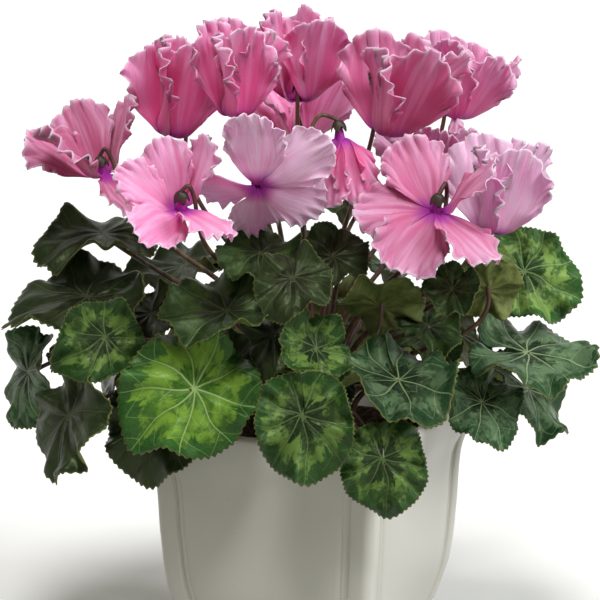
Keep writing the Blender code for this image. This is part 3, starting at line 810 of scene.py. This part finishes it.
leaves = [Leaf(number, *row) for number, row in enumerate(LEAVES, 1)]
BLOOM_COUNT = 13
sites = crown_sites(len(leaves) + BLOOM_COUNT)
for leaf in sorted(leaves, key=lambda each: -each.joint.xy.length):
    leaf.site = take_site(sites, leaf.azimuth)
young = [Leaf(len(leaves) + number, *row) for number, row in enumerate(YOUNG_LEAVES, 1)]
for leaf in young:
    leaf.site = polar(leaf.azimuth, 0.5 * CROWN_RADIUS, TUBER_MIDDLE + TUBER_HALF_HEIGHT)

notch = math.pi - math.radians(SINUS)
around = RAYS + 1
for leaf in leaves + young:
    points, places = [leaf.blade(0, 0)], [(0, 0, 0)]
    for t in BLADE_RINGS[1:]:
        for i in range(around):
            angle = -notch + 2 * notch * i / RAYS
            points.append(leaf.blade(angle, t))
            places.append((*leaf.grown(*leaf.flat(angle, t)), t))
    faces = [(0, 1 + i, 2 + i) for i in range(RAYS)]
    faces += quads(1, len(BLADE_RINGS) - 1, around, closed=False, flipped=True)
    blade = add_mesh(f"leaf_blade_{leaf.number:02d}", points, faces, [leaf_faces[leaf.kind], leaf_back])
    keep_places(blade, "leaf_place", places)
    keep_numbers(blade, "leaf_seed", [leaf.number * 3.7] * len(points))
    thicken(blade, BLADE_THICKNESS).material_offset = 1
    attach(blade, "root")
    if leaf in leaves:
        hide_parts(f"leaf_{leaf.number:02d}")
    stalk = tube(f"leaf_stem_{leaf.number:02d}", leaf.route(leaf.site), LEAF_STEM, stem_skin)
    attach(stalk, "root")


# ================================================================ blooms
# Each bloom is five silky petals grown together at a short throat and swept back from it. Their edges are
# frilled and cut into fine teeth with a pale rim, and the throat is stained crimson-purple.

# letter; azimuth, reach and height of the mouth; lean, tilt, gap, size, flares, hook and bow; its painted
# light, a paler pink for light falling on and through it, and its painted shade, a darker, duskier pink
BLOOMS = [
    ("a", -156, 127, 297, -135, 10, 20, 56, (30, 34, 44, 40, 112), 9, 3, 0.00, 0.9),
    ("b", -178, 93, 316, 20, 8, 15, 64, (6, 5, 9, 6, 10), 9, 0, 0.00, 0.0),
    ("c", -137, 47, 336, -65, 5, 80, 60, (9, 4, 8, 7, 9), 9, 0, 0.10, 0.0),
    ("d", 126, 37, 338, -65, 5, -75, 60, (10, 8, 7, 10, 8), 9, 0, 0.10, 0.1),
    ("e", 15, 46, 324, -20, 10, -150, 66, (12, 20, 26, 16, 12), 9, 0, -0.05, 0.6),
    ("f", 58, 109, 324, 25, 5, -140, 56, (16, 28, 34, 22, 12), 9, 0, 0.25, 0.0),
    ("g", 14, 111, 266, 0, 8, -155, 66, (14, 8, 9, 9, 14), 9, 0, 0.85, 0.0),
    ("h", 47, 77, 291, 140, 5, 130, 44, (34, 36, 36, 36, 34), 9, 0, 0.40, 0.2),
    ("i", -88, 80, 302, 115, 58, -109, 46, (70, 74, 78, 68, 60), 0, 0, 0.80, 0.0),
    ("j", -110, 107, 290, -65, 25, 25, 44, (26, 30, 45, 74, 78), 9, -5, 0.25, 0.1),
    ("k", -18, 99, 287, -50, 25, 90, 49, (56, 95, 105, 88, 30), 14, 0, 0.10, 0.8),
    ("l", -43, 44, 325, -155, 5, -150, 39, (158, 160, 156, 160, 156), 20, 0, 0.05, 0.3),
    ("m", 120, 85, 305, 120, 15, -60, 56, (28, 26, 34, 28, 32), 9, 0, 0.15, 0.2),
]
PETAL_THICKNESS = 0.45
FIRST_PETAL = 56  # degrees from the gap that the stem passes through, and from each petal to the next
NEXT_PETAL = 62
MOUTH_BEND = math.radians(112)
THROAT_RADIUS = 3.2
THROAT_DEPTH = 8.0
THROAT_RAYS = 32
PETAL_ROWS = 36
PETAL_COLUMNS = 38
CURVE_STEPS = 24
# radius and distance behind the mouth, from the calyx to the petals
THROAT_FORM = [(1.3, THROAT_DEPTH), (2.0, 6.0), (2.5, 3.5), (2.9, 1.0), (3.3, -0.4), (3.5, -1.0)]


class Bloom:
    """One bloom: the middle of its mouth, the way its petals sweep back, and each petal's flare."""

    def __init__(self, letter, azimuth, reach, height, lean, tilt, gap, size, flares, hook, bow, *tint):
        self.letter = letter
        self.azimuth = azimuth
        self.flares = flares
        # painted light pales a bloom's pink where it should look lit; painted shade darkens it where it
        # should look shaded
        self.faded, self.dusky = tint
        self.hook = hook
        self.bow = bow
        self.mouth = polar(azimuth, reach, height)
        lean, tilt = math.radians(lean), math.radians(tilt)
        self.axis = Vector((math.cos(lean) * math.sin(tilt), math.sin(lean) * math.sin(tilt), math.cos(tilt)))
        towards = polar(gap, 1, 0)
        self.gap = (towards - self.axis * towards.dot(self.axis)).normalized()
        self.side = self.axis.cross(self.gap)
        rng = random.Random(letter)
        self.phases = [rng.uniform(0, math.tau) for _ in flares]
        self.twist = math.radians(46 - 0.4 * sum(flares) / len(flares))
        self.widths = [size * rng.uniform(0.56, 0.70) for _ in flares]
        self.lengths = [size * rng.uniform(0.94, 1.10) for _ in flares]
        self.cuts = [[rng.uniform(-1, 1) for _ in range(4 * PETAL_COLUMNS)] for _ in flares]
        self.ruffles = [rng.uniform(0.6, 1.35) for _ in flares]

    def place(self, out, along, turn=0.0):
        """A point from its distance out from the axis, its place along it and its turn from the gap."""
        radial = self.gap * math.cos(turn) + self.side * math.sin(turn)
        return self.mouth + radial * out + self.axis * along

    def petal(self, k, s, v):
        """A point of petal k: s from 0 at the mouth to 1 at the tip, v from -1 to 1 across."""
        turn = math.radians(FIRST_PETAL + NEXT_PETAL * k)
        phase = self.phases[k]
        radial = self.gap * math.cos(turn) + self.side * math.sin(turn)
        across = self.side * math.cos(turn) - self.gap * math.sin(turn)
        length = self.lengths[k]
        edge = max(smooth(s, 0.62, 1.0), smooth(abs(v), 0.45, 1.0) * smooth(s, 0.25, 0.6))
        round_edge = v + math.copysign(1.6 * (1 - s), v) * abs(v)
        s = s * (1 - 0.2 * v * v * s)
        # the middle line starts outwards at the mouth and bends back to the petal's flare
        out, along, bend = 0.5 * THROAT_RADIUS, 0.0, 0.0
        opening = math.radians(self.flares[k]) - MOUTH_BEND
        for i in range(CURVE_STEPS):
            u = s * (i + 0.5) / CURVE_STEPS
            bend = MOUTH_BEND + opening * smooth(u, 0.0, 0.2) + math.radians(8) * smooth(u, 0.35, 1.0)
            out += math.sin(bend) * length * s / CURVE_STEPS
            along += math.cos(bend) * length * s / CURVE_STEPS
        normal = radial * math.cos(bend) - self.axis * math.sin(bend)
        # wide petals open from a narrow claw, and all are twisted like a propeller's blades
        open_wide = smooth(self.flares[k], 40, 72)
        claw = 0.07 + 0.93 * smooth(s, -0.06, 0.62 - 0.14 * open_wide) ** 0.9
        spread = (0.53 + 0.10 * open_wide) * self.widths[k] * claw * (1 - 0.3 * smooth(s, 0.75, 1.15))
        twist = self.twist * smooth(s, 0.0, 0.4)
        lateral = across * math.cos(twist) + normal * math.sin(twist)
        face = normal * math.cos(twist) - across * math.sin(twist)
        # hollowed along the middle, pleated, and frilled and ruffled towards the edges
        hollow = -0.2 * spread * v * v * (1 - 1.4 * smooth(s, 0.3, 1.0))
        frill = 0.05 * length * s * abs(v) ** 1.5 * math.sin(4 * math.pi * s + phase)
        pleat = 0.04 * length * s**2 * math.sin(4.5 * v + phase)
        ruffle = math.tau * 2.3 * round_edge + phase
        wave = math.sin(ruffle) + 0.42 * math.sin(math.tau * 5.1 * round_edge + 3 * phase)
        wave *= 0.040 * self.ruffles[k] * length * edge**1.6
        sway = 0.022 * length * edge**1.6 * math.cos(ruffle)
        middle = self.place(out, along, turn)
        return middle + lateral * (spread * v + sway) + face * (hollow + frill + pleat + wave)

    def route(self, site):
        """The stem's route: up from the tuber, past the mouth between two petals, over and into the calyx."""
        start = site - Vector((0, 0, STEM_DEPTH))
        lift = start + Vector((0, 0, STEM_DEPTH + 3))
        apex = self.place(0, THROAT_DEPTH + 3)
        if self.hook:
            hook = [self.place(share * self.hook, along) for share, along in ((1, -8), (0.85, 6), (0.5, 15))]
        else:
            hook = [self.place(1.5, 30), self.place(0.3, 18)]
        entry = hook[0]
        heading = (hook[1] - hook[0]).normalized()
        span = (entry - lift).length
        side = polar(self.azimuth + 90, 1, 0)
        rise = lift + Vector((0, 0, 0.5 * span)) + side * self.bow
        reach = entry - heading * 0.3 * span + side * self.bow
        return [start] + bezier(lift, rise, reach, entry, 8) + hook[1:] + [apex]


petal_silk, tree, shader = finish(
    "petal_silk", (0.85, 0.33, 0.55), 0.55, Specular_IOR_Level=0.3, Sheen_Weight=0.12, Sheen_Roughness=0.4,
    Subsurface_Weight=0.65, Subsurface_Scale=0.002,
)
shader.inputs["Subsurface Radius"].default_value = (1.0, 0.45, 0.75)
# share of the way to the tip, place across the petal, and nearness to the edge
parts = node(tree, "ShaderNodeSeparateXYZ", {"Vector": kept(tree, "petal_place", "Vector")}).outputs
along, across, rim = parts["X"], parts["Y"], parts["Z"]
lie = joined(tree, X=times(tree, across, 7.0), Y=times(tree, along, 0.9), Z=kept(tree, "petal_seed"))
streaks = noise(tree, lie, 3.2, 6.0, 0.65)
cloud = noise(tree, lie, 0.6, 2.0)
# paler towards the tip, and paler still by the bloom's painted light, which stands for light on and through
# it
paler = plus(tree, times(tree, along, 0.45), kept(tree, "petal_faded"))
paler = plus(tree, paler, ramp(tree, cloud, 0.3, 0.7, -0.30, 0.10))
# painted shade: the bloom's kept share turns its rose pink towards a dull, dark crimson
rose = blend(tree, kept(tree, "petal_painted_shade"), (0.86, 0.14, 0.38), (0.44, 0.11, 0.22))
pink = blend(tree, paler, rose, (0.98, 0.60, 0.83))
pink = blend(tree, times(tree, ramp(tree, streaks, 0.42, 0.72), 0.36), pink, (0.70, 0.08, 0.28))
stain_edge = plus(tree, along, times(tree, minus(tree, streaks, 0.5), 0.18))
stain = minus(tree, 1.0, ramp(tree, stain_edge, 0.04, 0.29))
pink = blend(tree, stain, pink, (0.36, 0.015, 0.33))
pink = blend(tree, times(tree, ramp(tree, rim, 0.94, 1.0), 0.55), pink, (0.98, 0.72, 0.87))
wire(tree, shader, Base_Color=pink, Roughness=ramp(tree, streaks, 0.3, 0.7, 0.48, 0.62))
relief(tree, shader, streaks, 0.35, 0.0008)

blooms = [Bloom(*row) for row in BLOOMS]
for bloom in sorted(blooms, key=lambda each: -each.mouth.xy.length):
    bloom.site = take_site(sites, bloom.azimuth)

for number, bloom in enumerate(blooms):
    points, places, seeds, faces = [], [], [], []
    for k, cuts in enumerate(bloom.cuts):
        faces += quads(len(points), PETAL_ROWS + 1, PETAL_COLUMNS + 1, closed=False)
        for r in range(PETAL_ROWS + 1):
            s = (r / PETAL_ROWS) ** 0.85
            for c in range(PETAL_COLUMNS + 1):
                v = 2 * c / PETAL_COLUMNS - 1
                v = math.copysign(abs(v) ** 0.85, v)
                near = max(s, smooth(s, 0.3, 0.62) * abs(v))
                s_cut, v_cut = s, v
                if r >= PETAL_ROWS - 1:
                    s_cut = s + 0.016 * cuts[c] * (1.0 if r == PETAL_ROWS else 0.3) + 0.006
                elif c in (0, PETAL_COLUMNS) and s > 0.3:
                    notch = cuts[PETAL_COLUMNS + 1 + r + (0 if c else PETAL_ROWS)]
                    v_cut = v * (1.012 + 0.018 * notch)
                points.append(bloom.petal(k, s_cut, v_cut))
                places.append((s, v, near))
                seeds.append(number * 5.3 + k * 1.7)
    faces += quads(len(points), len(THROAT_FORM), THROAT_RAYS)
    for r, (out, height) in enumerate(THROAT_FORM):
        for i in range(THROAT_RAYS):
            turn = -math.tau * i / THROAT_RAYS
            ruffle = 0.12 * math.cos(5 * turn) * (r > 2)
            points.append(bloom.place(out + ruffle, height, turn))
            places.append((0.10 - 0.018 * r, 0.0, 0.0))
            seeds.append(number * 5.3)
    corolla = add_mesh(f"corolla_{bloom.letter}", points, faces, [petal_silk])
    keep_places(corolla, "petal_place", places)
    keep_numbers(corolla, "petal_seed", seeds)
    # each bloom's painted light and painted shade, kept at its points for the petal material
    keep_numbers(corolla, "petal_faded", [bloom.faded] * len(points))
    keep_numbers(corolla, "petal_painted_shade", [bloom.dusky] * len(points))
    thicken(corolla, PETAL_THICKNESS)
    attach(corolla, "root")
    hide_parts(f"bloom_{bloom.letter}")


# ================================================================ flower stems
# A bare fleshy stem carries each bloom, brown-red and a little thicker at the foot. It hooks over at the top
# into the calyx, a shallow cup of five pointed sepals that hugs the back of the throat.

BLOOM_STEM = (1.8, 1.2)  # radius at the tuber and at the calyx
BLOOM_STEM_PIECES = 5  # between two points of its route
CALYX_RADIUS = 4.2
CALYX_LENGTH = 7.2
CALYX_THICKNESS = 0.4
CALYX_ROWS = 8
CALYX_RAYS = 40


def threaded(points, steps):
    """A curve with no corners through every point."""
    curve = []
    for i in range(len(points) - 1):
        a = points[max(i - 1, 0)]
        b, c = points[i], points[i + 1]
        d = points[min(i + 2, len(points) - 1)]
        for k in range(steps):
            t = k / steps
            bend = (2 * a - 5 * b + 4 * c - d) * t * t + (3 * b - a - 3 * c + d) * t**3
            curve.append(0.5 * (2 * b + (c - a) * t + bend))
    return curve + [points[-1]]


sepal_green, tree, shader = finish("sepal_green", (0.05, 0.05, 0.02), 0.5)
mottle = noise(tree, own_place(tree), 220.0, 4.0)
green = blend(tree, ramp(tree, mottle, 0.35, 0.65), (0.028, 0.010, 0.008), (0.040, 0.034, 0.014))
wire(tree, shader, Base_Color=green)
relief(tree, shader, mottle, 0.3, 0.0005)

for bloom in blooms:
    route = threaded(bloom.route(bloom.site), BLOOM_STEM_PIECES)
    stalk = tube(f"flower_stem_{bloom.letter}", route, BLOOM_STEM, stem_skin)
    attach(stalk, "root")
    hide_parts(f"stem_{bloom.letter}")
    top = THROAT_DEPTH + 3.4
    points = [bloom.place(0, top)]
    for r in range(1, CALYX_ROWS + 1):
        for i in range(CALYX_RAYS):
            turn = -math.tau * i / CALYX_RAYS
            lobe = (0.5 + 0.5 * math.cos(5 * turn)) ** 0.8
            share = r / CALYX_ROWS
            down = share * (0.62 + 0.38 * lobe)
            out = CALYX_RADIUS * math.sin(min(1.0, 1.25 * down) * math.pi / 2) ** 0.75
            out += 0.5 * smooth(share, 0.7, 1.0) * lobe
            points.append(bloom.place(out, top - CALYX_LENGTH * down**1.4, turn))
    faces = [(0, 1 + i, 1 + (i + 1) % CALYX_RAYS) for i in range(CALYX_RAYS)]
    faces += quads(1, CALYX_ROWS, CALYX_RAYS, flipped=True)
    calyx = add_mesh(f"calyx_{bloom.letter}", points, faces, [sepal_green])
    thicken(calyx, CALYX_THICKNESS)
    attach(calyx, "root")
